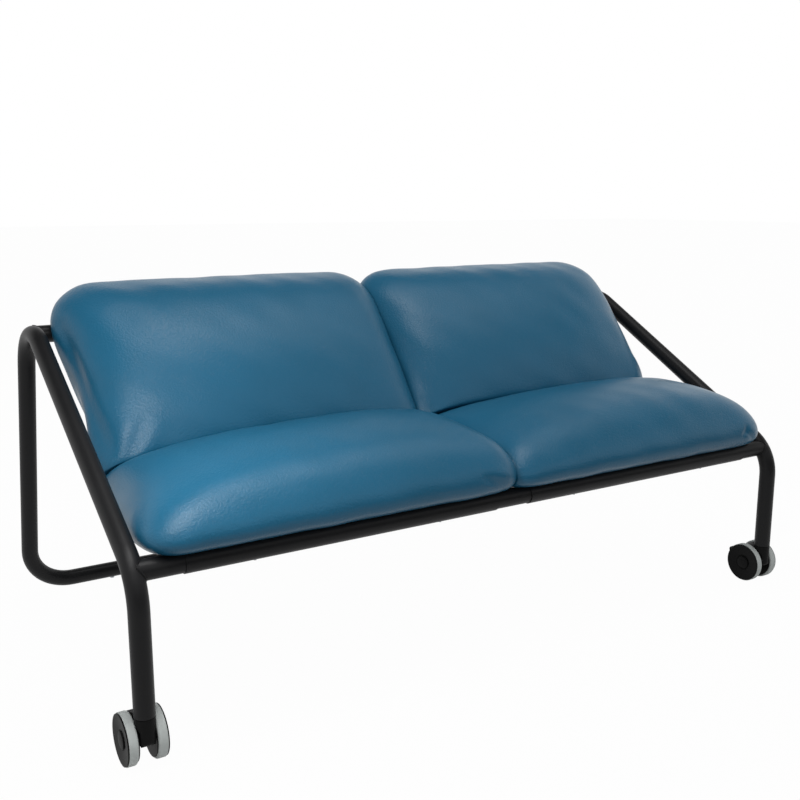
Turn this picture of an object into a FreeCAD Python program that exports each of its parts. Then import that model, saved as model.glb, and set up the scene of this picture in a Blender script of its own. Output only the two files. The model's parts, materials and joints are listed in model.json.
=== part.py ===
import FreeCAD, Part
import math
import os

# Two-seat settee on a bent-tube frame: front legs on casters, rear legs on a floor rail.
# Millimetres: +X across the seats, +Y to the back, +Z up; the origin is on the floor, under the middle.

# Frame tube
tube_d = 32.0
tube_wall = 2.0
bend_radius = 86.0
side_spacing = 1361.0
leg_end_z = 82.0
leg_corner_z = 290.0
arm_depth = 603.5
arm_slope = 28.35
rear_lean = 14.8
floor_rail_z = 22.0
floor_joint_x = 480.0

# Rails sit on the bends of the side frames, at these turns from the bend's start
front_rail_turn = 40.4
top_rail_turn = 41.7

# Seat units
unit_centre_x = 321.5
sleeve_d = 35.0
sleeve_length = 569.0
seat_bar_d = 16.0
seat_bar_spacing = 520.0
seat_bar_bend = 60.0
sling_corner_y = 404.0
sling_corner_z = 257.0
strap_width = 50.0
strap_thickness = 2.5
seat_strap_count = 5
back_strap_count = 4

# Cushions
cushion_width = 642.0
cushion_centre_x = 323.5
cover_thickness = 2.0
front_overhang = 22.0

# Casters
wheel_d = 80.0
wheel_width = 18.6
wheel_track = 43.0
caster_trail = 24.0
neck_d = 31.6
hood_width = 22.0
stem_d = 10.0
axle_d = 8.0
pedal_pin_d = 4.0

# Fits and gaps
weld_gap = 0.2
joint_gap = 0.3
screw_gap = 0.1
press_gap = 0.05
pin_gap = 0.02
running_gap = 0.05
sleeve_gap = 0.15
strap_gap = 0.1
fill_gap = 0.8
cushion_clearance = 0.9

# Worked out from the dimensions above
tube_r = tube_d / 2
tube_bore_r = tube_r - tube_wall
side_x = side_spacing / 2
sleeve_r = sleeve_d / 2
seat_bar_r = seat_bar_d / 2
arm_top_z = leg_corner_z + arm_depth * math.tan(math.radians(arm_slope))
rear_foot_y = arm_depth + (arm_top_z - floor_rail_z) * math.tan(math.radians(rear_lean))
leg_y = -(rear_foot_y + tube_r - front_overhang) / 2
wheel_r = wheel_d / 2

across = FreeCAD.Vector(1, 0, 0)
parts = {}


def at(x, y, z):
    """A point, with y counted back from the front legs' axis."""
    return FreeCAD.Vector(x, y + leg_y, z)


def unit(vector):
    """The vector at length 1."""
    return FreeCAD.Vector(vector).normalize()


def bent_path(corners, radius):
    """Straight runs through the corners, joined by tangent arcs."""
    edges = []
    start = corners[0]
    for before, corner, after in zip(corners, corners[1:], corners[2:]):
        arriving = unit(corner - before)
        leaving = unit(after - corner)
        half_turn = arriving.getAngle(leaving) / 2
        reach = radius * math.tan(half_turn)
        arc_start = corner - arriving * reach
        arc_end = corner + leaving * reach
        inward = unit(leaving - arriving)
        arc_middle = corner + inward * (radius / math.cos(half_turn) - radius)
        edges.append(Part.LineSegment(start, arc_start).toShape())
        edges.append(Part.Arc(arc_start, arc_middle, arc_end).toShape())
        start = arc_end
    edges.append(Part.LineSegment(start, corners[-1]).toShape())
    return Part.Wire(edges)


def bent_rod(corners, radius, rod_r):
    """A round bar along a bent path."""
    profile = Part.Wire([Part.makeCircle(rod_r, corners[0], corners[1] - corners[0])])
    return bent_path(corners, radius).makePipeShell([profile], True, False)


def rod(start, end, radius):
    """A straight round bar between two points."""
    return Part.makeCylinder(radius, (end - start).Length, start, end - start)


def pipe(start, end, outer_r, bore_r):
    """A straight round tube between two points."""
    return rod(start, end, outer_r).cut(rod(start, end, bore_r))


def turned(outline, centre, axis_x):
    """A turned piece: the outline's points are (distance along X, radius) about an axis along X."""
    points = [FreeCAD.Vector(axis_x * u, centre.y, centre.z + r) for u, r in outline]
    face = Part.Face(Part.makePolygon(points + points[:1]))
    solid = face.revolve(centre, across, 360)
    return Part.makeSolid(solid.Shells[0]) if solid.ShapeType != "Solid" else solid


def plate(edges, thickness):
    """A flat plate: an outline in a plane across X, thick along X and centred on X = 0."""
    face = Part.Face(Part.Wire(edges))
    solid = face.extrude(across * thickness)
    solid.translate(across * (-thickness / 2))
    return solid


def largest(shape):
    """The largest solid of a shape."""
    return max(shape.Solids, key=lambda solid: solid.Volume)


# Frame

front_bend_y = bend_radius
front_bend_z = leg_corner_z - bend_radius * math.tan(math.radians(90 - arm_slope) / 2)
front_rail_y = front_bend_y - bend_radius * math.cos(math.radians(front_rail_turn))
front_rail_z = front_bend_z + bend_radius * math.sin(math.radians(front_rail_turn))

top_turn = arm_slope + 90 - rear_lean
top_reach = bend_radius * math.tan(math.radians(top_turn) / 2)
slope = math.radians(arm_slope)
top_bend_y = arm_depth - top_reach * math.cos(slope) + bend_radius * math.sin(slope)
top_bend_z = arm_top_z - top_reach * math.sin(slope) - bend_radius * math.cos(slope)
top_rail_angle = math.radians(90 + arm_slope - top_rail_turn)
top_rail_y = top_bend_y + bend_radius * math.cos(top_rail_angle)
top_rail_z = top_bend_z + bend_radius * math.sin(top_rail_angle)


def side_corners(side):
    """The corners of a side frame's tube, from the leg's end to the joint in the floor rail."""
    return [
        at(side * side_x, 0, leg_end_z),
        at(side * side_x, 0, leg_corner_z),
        at(side * side_x, arm_depth, arm_top_z),
        at(side * side_x, rear_foot_y, floor_rail_z),
        at(side * floor_joint_x, rear_foot_y, floor_rail_z),
    ]


def rail_between(y, z):
    """A rail across the sofa, its ends coped to the side frames."""
    rail = pipe(at(-side_x, y, z), at(side_x, y, z), tube_r, tube_bore_r)
    for side in (-1, 1):
        rail = rail.cut(bent_rod(side_corners(side), bend_radius, tube_r + weld_gap))
    return largest(rail)


floor_screw_x = 30.0
floor_screw_r = 2.5
floor_screw_head_r = 4.5
floor_screw_head = 2.4
floor_screw_length = 9.0
spigot_length = 120.0
spigot_r = tube_bore_r - screw_gap
spigot_wall = 2.5
glide_x = 400.0
glide_length = 60.0
glide_width = 30.0
glide_height = 13.0
glide_screw_r = 2.0
glide_screw_head_r = 4.0
glide_screw_head = 1.5
glide_screw_top = floor_rail_z - tube_bore_r + 3.0
glide_recess = 3.0
glide_recess_r = glide_screw_head_r + 0.3
glide_corner_r = 6.0


def upright_screw(x, low_z, head_r, head_height, shank_r, top_z):
    """A pan-head screw standing under the floor rail, head down."""
    head = rod(at(x, rear_foot_y, low_z), at(x, rear_foot_y, low_z + head_height), head_r)
    shank = rod(at(x, rear_foot_y, low_z), at(x, rear_foot_y, top_z), shank_r)
    return head.fuse(shank).removeSplitter()


def floor_screw_places():
    """The four places of the floor rail's joint screws, two at each joint."""
    return [side * floor_joint_x + offset for side in (-1, 1) for offset in (-floor_screw_x, floor_screw_x)]


def floor_rail_drill():
    """The screw holes in the underside of the floor rail."""
    holes = [(x, floor_screw_r) for x in floor_screw_places()]
    holes += [(side * glide_x, glide_screw_r) for side in (-1, 1)]
    drills = []
    for x, screw_r in holes:
        drills.append(rod(at(x, rear_foot_y, 0), at(x, rear_foot_y, floor_rail_z), screw_r + screw_gap))
    return Part.Compound(drills)


def build_frame():
    """The two side frames, three rails, spigots, glides and their screws."""
    drill = floor_rail_drill()
    for name, side in (("left", -1), ("right", 1)):
        corners = side_corners(side)
        outer = bent_rod(corners, bend_radius, tube_r)
        bore = bent_rod(corners, bend_radius, tube_bore_r)
        parts[name + "_side_frame"] = outer.cut(bore).cut(drill)
        build_leg_socket(name, side)
        build_glide(name, side)
    parts["front_rail"] = rail_between(front_rail_y, front_rail_z)
    parts["top_rail"] = rail_between(top_rail_y, top_rail_z)
    left_end = at(-floor_joint_x + joint_gap, rear_foot_y, floor_rail_z)
    right_end = at(floor_joint_x - joint_gap, rear_foot_y, floor_rail_z)
    parts["floor_rail"] = pipe(left_end, right_end, tube_r, tube_bore_r).cut(drill)
    spigots = []
    for side in (-1, 1):
        middle = side * floor_joint_x
        start = at(middle - spigot_length / 2, rear_foot_y, floor_rail_z)
        end = at(middle + spigot_length / 2, rear_foot_y, floor_rail_z)
        spigots.append(pipe(start, end, spigot_r, spigot_r - spigot_wall).cut(drill))
    parts["floor_rail_spigots"] = Part.Compound(spigots)
    screws = []
    for x in floor_screw_places():
        low = floor_rail_z - tube_r - floor_screw_head
        screws.append(upright_screw(x, low, floor_screw_head_r, floor_screw_head, floor_screw_r,
                                    low + floor_screw_length))
    tubes = rod(at(-side_x, rear_foot_y, floor_rail_z), at(side_x, rear_foot_y, floor_rail_z), tube_r)
    heads_clear = tubes.cut(drill)
    parts["floor_rail_screws"] = Part.Compound([screw.cut(heads_clear) for screw in screws])
    glide_screws = []
    for side in (-1, 1):
        low = glide_recess - glide_screw_head - pin_gap
        glide_screws.append(upright_screw(side * glide_x, low, glide_screw_head_r, glide_screw_head,
                                          glide_screw_r, glide_screw_top))
    parts["glide_screws"] = Part.Compound(glide_screws)


def build_glide(name, side):
    """A moulded saddle under the floor rail that keeps it off the floor."""
    low = at(side * glide_x - glide_length / 2, rear_foot_y - glide_width / 2, 0)
    block = Part.makeBox(glide_length, glide_width, glide_height, low)
    upright = [edge for edge in block.Edges if abs(edge.tangentAt(edge.FirstParameter).z) > 0.9]
    block = block.makeFillet(glide_corner_r, upright)
    rail_start = at(side * glide_x - glide_length, rear_foot_y, floor_rail_z)
    rail_end = at(side * glide_x + glide_length, rear_foot_y, floor_rail_z)
    saddle = rod(rail_start, rail_end, tube_r + press_gap)
    centre = at(side * glide_x, rear_foot_y, 0)
    hole = rod(centre, at(side * glide_x, rear_foot_y, glide_height), glide_screw_r + screw_gap)
    recess = rod(centre, at(side * glide_x, rear_foot_y, glide_recess), glide_recess_r)
    parts[name + "_floor_glide"] = block.cut(saddle).cut(hole).cut(recess)


socket_length = 44.0
stem_grip = 36.0
stem_hole = stem_grip + 1.0


def build_leg_socket(name, side):
    """The plastic socket pressed into a leg's end for the caster's stem."""
    low = at(side * side_x, 0, leg_end_z + weld_gap)
    high = at(side * side_x, 0, leg_end_z + socket_length)
    socket = rod(low, high, tube_bore_r - press_gap)
    hole = rod(low, at(side * side_x, 0, leg_end_z + stem_hole), stem_d / 2 + pin_gap)
    parts[name + "_leg_socket"] = socket.cut(hole)


# Seat units: sleeves on the rails, bent bars between them, and straps round the bars

sling_start = FreeCAD.Vector(0, front_rail_y, front_rail_z)
sling_corner = FreeCAD.Vector(0, sling_corner_y, sling_corner_z)
sling_end = FreeCAD.Vector(0, top_rail_y, top_rail_z)
seat_run = unit(sling_corner - sling_start)
seat_up = FreeCAD.Vector(0, -seat_run.z, seat_run.y)
back_run = unit(sling_end - sling_corner)
back_out = FreeCAD.Vector(0, -back_run.z, back_run.y)
strap_bore_r = seat_bar_r + strap_gap
strap_face = strap_bore_r + strap_thickness
cushion_face = strap_face + cushion_clearance


def in_seat(x, along, above):
    """A point over the seat sling: along it from the front rail, and above the cushion's face."""
    place = sling_start + seat_run * along + seat_up * (above + cushion_face)
    return at(x, place.y, place.z)


def on_back(x, along, out):
    """A point in front of the back sling: up it from the corner, and out from the cushion's face."""
    place = sling_corner + back_run * along + back_out * (out + cushion_face)
    return at(x, place.y, place.z)


def on_bars(x, origin, run, along):
    """A point at the bars' height, along a stretch of the sling."""
    place = origin + run * along
    return at(x, place.y, place.z)


def strap(centre, run):
    """A closed band round both bars, with its width along the bars."""
    normal = unit(run.cross(across))
    rings = []
    for radius in (strap_face, strap_bore_r):
        corner = centre - run * (strap_width / 2)
        left = corner - across * (seat_bar_spacing / 2)
        right = corner + across * (seat_bar_spacing / 2)
        edges = [
            Part.LineSegment(left + normal * radius, right + normal * radius).toShape(),
            Part.Arc(right + normal * radius, right + across * radius, right - normal * radius).toShape(),
            Part.LineSegment(right - normal * radius, left - normal * radius).toShape(),
            Part.Arc(left - normal * radius, left - across * radius, left + normal * radius).toShape(),
        ]
        rings.append(Part.Face(Part.Wire(edges)).extrude(run * strap_width))
    return rings[0].cut(rings[1])


set_screw_r = 2.5
set_screw_length = 3.0
set_screw_share = 0.3


def sleeve_on(x, y, z):
    """A seat unit's sleeve on a rail, drilled below for its set screws."""
    start = at(x - sleeve_length / 2, y, z)
    end = at(x + sleeve_length / 2, y, z)
    sleeve = pipe(start, end, sleeve_r, tube_r + sleeve_gap)
    for screw_x in set_screw_places(x):
        sleeve = sleeve.cut(rod(at(screw_x, y, z), at(screw_x, y, z - sleeve_d), set_screw_r + press_gap))
    return sleeve


def set_screw_places(x):
    """Where a sleeve's two set screws are."""
    return (x - set_screw_share * sleeve_length, x + set_screw_share * sleeve_length)


def set_screw(x, y, z):
    """A set screw under a sleeve, its point on the rail."""
    top = z - tube_r - pin_gap
    return rod(at(x, y, top), at(x, y, top - set_screw_length), set_screw_r)


def seat_bar(x, radius):
    """A bent bar from the front rail under the seat and up behind the back to the top rail."""
    corners = [at(x, corner.y, corner.z) for corner in (sling_start, sling_corner, sling_end)]
    return bent_rod(corners, seat_bar_bend, radius)


def strap_row(x, origin, run, start, length, count):
    """Straps spaced evenly along a stretch of the sling."""
    places = [start + length * (index + 0.5) / count for index in range(count)]
    return Part.Compound([strap(on_bars(x, origin, run, along), run) for along in places])


def build_seat_unit(name, side):
    """The metal and straps of one seat: sleeves, bars, cross bar and straps."""
    x = side * unit_centre_x
    half_spacing = seat_bar_spacing / 2
    parts[name + "_front_sleeve"] = sleeve_on(x, front_rail_y, front_rail_z)
    parts[name + "_top_sleeve"] = sleeve_on(x, top_rail_y, top_rail_z)
    for bar_name, end in (("outer", side), ("inner", -side)):
        bar = seat_bar(x + end * half_spacing, seat_bar_r)
        for y, z in ((front_rail_y, front_rail_z), (top_rail_y, top_rail_z)):
            cope = rod(at(x - sleeve_length, y, z), at(x + sleeve_length, y, z), sleeve_r + weld_gap)
            bar = bar.cut(cope)
        parts[name + "_" + bar_name + "_seat_bar"] = largest(bar)
    half_turn = seat_run.getAngle(back_run) / 2
    inward = unit(back_run - seat_run) * (seat_bar_bend / math.cos(half_turn) - seat_bar_bend)
    place = sling_corner + inward
    cross = rod(at(x - half_spacing, place.y, place.z), at(x + half_spacing, place.y, place.z), seat_bar_r)
    for end in (-1, 1):
        cross = cross.cut(seat_bar(x + end * half_spacing, seat_bar_r + weld_gap))
    parts[name + "_cross_bar"] = largest(cross)
    bend_reach = seat_bar_bend * math.tan(half_turn)
    seat_length = (sling_corner - sling_start).Length - bend_reach - sleeve_r
    back_length = (sling_end - sling_corner).Length - bend_reach - sleeve_r
    seat_straps = strap_row(x, sling_start, seat_run, sleeve_r, seat_length, seat_strap_count)
    back_straps = strap_row(x, sling_corner, back_run, bend_reach, back_length, back_strap_count)
    parts[name + "_seat_straps"] = seat_straps
    parts[name + "_back_straps"] = back_straps


def build_set_screws():
    """The set screws of all four sleeves."""
    screws = []
    for side in (-1, 1):
        for x in set_screw_places(side * unit_centre_x):
            screws.append(set_screw(x, front_rail_y, front_rail_z))
            screws.append(set_screw(x, top_rail_y, top_rail_z))
    parts["sleeve_set_screws"] = Part.Compound(screws)


# Cushions: lofts across the seat, full in the middle and drawn in towards both ends

# Share of the half width, and how full the section is there
cushion_stations = ((0.0, 1.0), (0.42, 0.955), (0.72, 0.84), (0.88, 0.70), (0.96, 0.55), (1.0, 0.35))

# Seat cushion, along the sling from the front rail and above it
# Each draw is how far a point goes in at the cushion's ends
seat_crown = 150.0
seat_crown_along = 165.0
seat_front_height = 90.0
seat_nose_depth = 14.0
seat_nose_draw = 46.0
seat_turn_under = 27.0
seat_turn_draw = 6.0
seat_flat_length = 338.0
seat_rear_reach = 390.0
seat_rear_height = 72.0
seat_rear_round = 6.0
seat_rear_draw = 80.0

# Back cushion, up the sling from its corner and out from it
back_low = 92.0
back_low_draw = 22.0
back_flat_top = 330.0
back_flat_draw = 10.0
back_overhang_along = 388.0
back_overhang = 20.0
back_overhang_draw = 46.0
back_high = 429.0
back_high_draw = 84.0
back_top_out = 44.0
back_front_top = 384.0
back_front_top_out = 84.0
back_front_top_draw = 78.0
back_crown = 141.0
back_crown_along = 244.0
back_front_low = 152.0
back_front_low_out = 144.0
back_chin = 118.0
back_chin_out = 124.0
back_bottom = 104.0
back_bottom_out = 82.0
back_bottom_draw = 18.0
back_chin_draw = 12.0

# Height of the side seam, to which both faces of a cushion draw in at its ends
seam_height = 45.0
draw_power = 1.4
lift_power = 2.2
channel_r = sleeve_r + cushion_clearance


def outline_edges(place, x, stretches):
    """Edges of a closed outline: each stretch is two end points, or an arc's start, middle and end."""
    edges = []
    for stretch in stretches:
        points = [place(x, along, off) for along, off in stretch]
        if len(points) == 2:
            edges.append(Part.LineSegment(*points).toShape())
        else:
            edges.append(Part.Arc(*points).toShape())
    return edges


def drawn_in(height, full):
    """A face's height where the cushion is only partly full, between the seam and its full height."""
    return seam_height + (height - seam_height) * full


def seat_outline(x, full, inset):
    """A seat cushion's section at one place across the seat."""
    draw = (1 - full) ** draw_power
    lift = seam_height * (1 - full) ** lift_power + inset
    front = -front_overhang - front_rail_y + seat_nose_draw * draw + inset
    low_front = (front + seat_turn_under - seat_turn_draw * draw, 0.6 * lift + 0.4 * inset - 1)
    low_rear = (seat_flat_length - seat_rear_draw * draw - inset, lift)
    rear_top = (seat_rear_reach - seat_rear_draw * draw - inset,
                drawn_in(seat_rear_height, full) - 0.4 * inset)
    rear = (rear_top[0] - seat_rear_round, 0.45 * rear_top[1] + 0.55 * low_rear[1])
    crown = (seat_crown_along, drawn_in(seat_crown, full) - inset)
    front_top = (front + seat_nose_depth, drawn_in(seat_front_height, full) - 0.6 * inset)
    nose = (front, 0.5 * (front_top[1] + low_front[1]))
    return Part.Wire(outline_edges(in_seat, x, [
        (low_front, low_rear),
        (low_rear, rear, rear_top),
        (rear_top, crown, front_top),
        (front_top, nose, low_front),
    ]))


def back_outline(x, full, inset):
    """A back cushion's section at one place across the seat."""
    draw = (1 - full) ** draw_power
    lift = seam_height * (1 - full) ** lift_power + inset
    low_rear = (back_low + back_low_draw * draw + inset, lift)
    high_rear = (back_flat_top - back_flat_draw * draw, lift)
    overhang = (back_overhang_along - back_overhang_draw * draw - inset, lift - back_overhang * full ** 2)
    top = (back_high - back_high_draw * draw - inset, back_top_out + 6 * draw)
    front_top = (back_front_top - back_front_top_draw * draw + 0.2 * inset,
                 drawn_in(back_front_top_out, full) - inset)
    front = (back_crown_along, drawn_in(back_crown, full) - inset)
    front_low = (back_front_low + back_chin_draw * draw, drawn_in(back_front_low_out, full) - inset)
    chin = (back_chin + back_chin_draw * draw + 0.7 * inset, drawn_in(back_chin_out, full) - 0.7 * inset)
    bottom = (back_bottom + back_bottom_draw * draw + inset, drawn_in(back_bottom_out, full))
    return Part.Wire(outline_edges(on_back, x, [
        (low_rear, high_rear),
        (high_rear, overhang),
        (overhang, top, front_top),
        (front_top, front, front_low),
        (front_low, chin, bottom),
        (bottom, low_rear),
    ]))


def cushion_loft(outline, x, inset):
    """A loft through a cushion's sections, from one end to the other."""
    half = cushion_width / 2 - inset
    stations = [(-share, full) for share, full in reversed(cushion_stations[1:])]
    stations += list(cushion_stations)
    wires = [outline(x + share * half, full, inset) for share, full in stations]
    return Part.makeLoft(wires, True, False)


def build_cushion(name, outline, x, y, z):
    """One cushion: a sewn cover round its filling, hollowed where a rail passes."""
    def channel(clearance):
        return rod(at(x - cushion_width, y, z), at(x + cushion_width, y, z), channel_r + clearance)
    outer = cushion_loft(outline, x, 0).cut(channel(0))
    hollow = cushion_loft(outline, x, cover_thickness).cut(channel(cover_thickness))
    fill_inset = cover_thickness + fill_gap
    fill = cushion_loft(outline, x, fill_inset).cut(channel(fill_inset))
    parts[name + "_cover"] = outer.cut(hollow)
    parts[name + "_filling"] = fill


# Casters, made about the leg's axis at X = 0 and then moved to their legs

axle_centre = at(0, caster_trail, wheel_r)
neck_top_z = leg_end_z - 1.0
neck_low_z = 40.0
neck_round = 5.0
hood_r = wheel_r - 3.4
axle_boss_r = 13.0
wheel_inner = (wheel_track - wheel_width) / 2
wheel_outer = (wheel_track + wheel_width) / 2
wheel_gap = 1.2

# Stem: a rolled foot in a pocket of the housing, and a collar under the leg
stem_foot_z = 47.0
stem_foot_half = 2.0
stem_foot_r = stem_d / 2 + 1.5
stem_pocket_half = 3.0
stem_pocket_r = stem_foot_r + 0.5
stem_collar_r = stem_d / 2 + 5.0

# Wheel: hub with a boss inside and a dished face, tyre between the hub's flanges, and cap in the dish
hub_r = wheel_r - 5.6
face_flange_r = wheel_r - 1.2
face_flange = 2.0
back_flange_r = wheel_r - 3.6
back_flange = 1.6
hub_boss_r = 8.0
hub_boss = 0.7
hub_recess = 0.6
rim_band = 2.4
dish_depth = 2.2
cap_seat_r = 16.0
cap_seat_bevel = 1.2
cap_seat_depth = 3.4
cap_plug_r = 10.9
cap_plug_length = 3.5
cap_pocket = 4.0
cap_r = 13.6
cap_edge = 2.4
cap_height = 4.0
tyre_shoulder = 3.4
shoulder_steps = 5
tyre_edge = 0.6
axle_short = 8.0

# Brake pedal
pedal_pivot = at(0, caster_trail + 24, wheel_r + 19)
pedal_width = 17.0
pedal_pad_width = 26.0
pedal_gap = 1.0
pedal_room = 60.0
pedal_room_front = 8.0
pedal_room_below = 12.0


def caster_housing():
    """Neck and hood in one moulding, with bores for the stem, the axle and the pedal's pin."""
    neck = rod(at(0, 0, neck_low_z), at(0, 0, neck_top_z), neck_d / 2)
    low_ring = [edge for edge in neck.Edges if abs(edge.CenterOfMass.z - neck_low_z) < pin_gap]
    neck = neck.makeFillet(neck_round, low_ring)
    disc = rod(axle_centre - across * (hood_width / 2), axle_centre + across * (hood_width / 2), hood_r)
    below = Part.makeBox(2 * wheel_d, 2 * wheel_d, axle_centre.z, at(-wheel_d, -wheel_d, 0))
    boss = rod(axle_centre - across * (hood_width / 2), axle_centre + across * (hood_width / 2), axle_boss_r)
    body = neck.fuse(disc.cut(below)).fuse(boss).removeSplitter()
    for end in (-1, 1):
        wheel_side = axle_centre + across * (end * (wheel_inner - wheel_gap))
        body = body.cut(rod(wheel_side, wheel_side + across * (end * wheel_d), wheel_r + wheel_gap))
    body = body.cut(rod(at(0, 0, 0), at(0, 0, leg_end_z), stem_d / 2 + running_gap))
    pocket_low = at(0, 0, stem_foot_z - stem_pocket_half)
    body = body.cut(rod(pocket_low, at(0, 0, stem_foot_z + stem_pocket_half), stem_pocket_r))
    past_wheels = across * wheel_d
    body = body.cut(rod(axle_centre - past_wheels, axle_centre + past_wheels, axle_d / 2 + pin_gap))
    body = body.cut(rod(pedal_pivot - past_wheels, pedal_pivot + past_wheels, pedal_pin_d / 2 + pin_gap))
    room_corner = FreeCAD.Vector(pedal_width / 2 + pedal_gap, pedal_room_front, pedal_room_below)
    room = Part.makeBox(pedal_width + 2 * pedal_gap, pedal_room, pedal_room, pedal_pivot - room_corner)
    return body.cut(room)


def caster_stem():
    """The stem, gripped by the leg's socket; its rolled foot keeps the housing on."""
    foot_low = at(0, 0, stem_foot_z - stem_foot_half)
    stem = rod(foot_low, at(0, 0, leg_end_z + stem_grip), stem_d / 2)
    foot = rod(foot_low, at(0, 0, stem_foot_z + stem_foot_half), stem_foot_r)
    collar = rod(at(0, 0, neck_top_z + joint_gap), at(0, 0, leg_end_z), stem_collar_r)
    return stem.fuse(foot).fuse(collar).removeSplitter()


def wheel_hub(end):
    """A wheel's moulded hub: flanges that hold the tyre, and a face that is dished round the cap."""
    bore = axle_d / 2 + running_gap
    boss = wheel_inner - hub_boss
    inside = wheel_inner + hub_recess
    dish = wheel_outer - dish_depth
    seat = wheel_outer - cap_seat_depth
    pocket_r = cap_plug_r + screw_gap
    return turned([
        (boss, bore), (boss, hub_boss_r), (inside, hub_boss_r), (inside, back_flange_r),
        (inside + back_flange, back_flange_r), (inside + back_flange, hub_r), (wheel_outer - face_flange, hub_r),
        (wheel_outer - face_flange, face_flange_r), (wheel_outer, face_flange_r),
        (wheel_outer, face_flange_r - rim_band), (dish, cap_seat_r), (seat, cap_seat_r - cap_seat_bevel),
        (seat, pocket_r), (seat - cap_pocket, pocket_r), (seat - cap_pocket, bore),
    ], axle_centre, end)


def wheel_tyre(end):
    """A wheel's soft tyre, round at its inner shoulder."""
    low = wheel_inner + hub_recess + back_flange + press_gap
    high = wheel_outer - face_flange - press_gap
    outline = [(low, hub_r + press_gap)]
    for index in range(shoulder_steps + 1):
        turn = math.radians(90 * index / shoulder_steps)
        drop = 1 - math.sin(turn)
        outline.append((low + tyre_shoulder * (1 - math.cos(turn)), wheel_r - tyre_shoulder * drop))
    outline.append((high - tyre_edge, wheel_r))
    outline.append((high, wheel_r - tyre_edge))
    outline.append((high, hub_r + press_gap))
    return turned(outline, axle_centre, end)


def hub_cap(end):
    """The domed cap over the axle's end, its plug in the hub's pocket."""
    seat = wheel_outer - cap_seat_depth
    flange = seat + press_gap
    top = seat + cap_height
    return turned([
        (seat - cap_plug_length, 0.0), (seat - cap_plug_length, cap_plug_r), (flange, cap_plug_r),
        (flange, cap_r), (seat + cap_edge, cap_r), (top - 0.7, cap_r - 1.0), (top - 0.5, cap_r - 2.6),
        (top - 0.1, 0.45 * cap_r), (top, 0.0),
    ], axle_centre, end)


def caster_axle():
    """The steel pin that carries both wheels."""
    half = across * (wheel_outer - axle_short)
    return rod(axle_centre - half, axle_centre + half, axle_d / 2)


def pedal_pin():
    """The pin on which the brake pedal tips."""
    half = across * (hood_width / 2 - weld_gap)
    return rod(pedal_pivot - half, pedal_pivot + half, pedal_pin_d / 2)


def brake_pedal():
    """The pedal's arm between the wheels, and its wider pad behind them."""
    def spot(y, z):
        return FreeCAD.Vector(0, pedal_pivot.y + y, pedal_pivot.z + z)

    def line(start, end):
        return Part.LineSegment(start, end).toShape()
    eye_low = spot(-2, -5.5)
    eye_high = spot(-2, 5.5)
    pad_root = spot(15, 3.5)
    pad_tip = spot(21, 0.5)
    pad_under = spot(22.5, -11.5)
    arm_under = spot(13, -6)
    pad_heel = spot(19.5, -5.5)
    tip = Part.Arc(pad_tip, spot(26, -5.5), pad_under).toShape()
    arm = plate([
        Part.Arc(eye_low, spot(-5.8, 0), eye_high).toShape(),
        Part.Arc(eye_high, spot(7, 6.4), pad_root).toShape(),
        line(pad_root, pad_tip), tip, line(pad_under, pad_heel), line(pad_heel, arm_under),
        line(arm_under, eye_low),
    ], pedal_width)
    pad = plate([
        line(pad_root, pad_tip), tip, line(pad_under, pad_heel), line(pad_heel, pad_root),
    ], pedal_pad_width)
    pin_end = across * pedal_width
    pin_hole = rod(pedal_pivot - pin_end, pedal_pivot + pin_end, pedal_pin_d / 2 + running_gap)
    return arm.fuse(pad).removeSplitter().cut(pin_hole)


def build_caster(name, side):
    """One twin-wheel caster under its leg."""
    pieces = {
        "stem": caster_stem(),
        "housing": caster_housing(),
        "axle": caster_axle(),
        "brake_pedal": brake_pedal(),
        "pedal_pin": pedal_pin(),
    }
    for wheel_name, end in (("outer", side), ("inner", -side)):
        pieces[wheel_name + "_wheel"] = wheel_hub(end)
        pieces[wheel_name + "_tyre"] = wheel_tyre(end)
        pieces[wheel_name + "_cap"] = hub_cap(end)
    for piece_name, piece in pieces.items():
        piece.translate(FreeCAD.Vector(side * side_x, 0, 0))
        parts[name + "_caster_" + piece_name] = piece


build_frame()
for side_name, side_sign in (("left", -1), ("right", 1)):
    build_seat_unit(side_name, side_sign)
    cushion_x = side_sign * cushion_centre_x
    build_cushion(side_name + "_seat", seat_outline, cushion_x, front_rail_y, front_rail_z)
    build_cushion(side_name + "_back", back_outline, cushion_x, top_rail_y, top_rail_z)
    build_caster(side_name, side_sign)
build_set_screws()

os.makedirs("parts", exist_ok=True)
for node, shape in parts.items():
    shape.exportStep("parts/" + node + ".step")
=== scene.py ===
"""Studio scene of a two-seat settee on a bent-tube frame.

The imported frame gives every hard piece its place. This file gives the pieces their finishes, fills the
four cushions, adds weld beads and strap laps, and sets the studio round them. Sizes are metres unless a
name ends in mm.
"""

import json
import logging
import math
from dataclasses import dataclass
from enum import Enum
from typing import Callable

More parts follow.
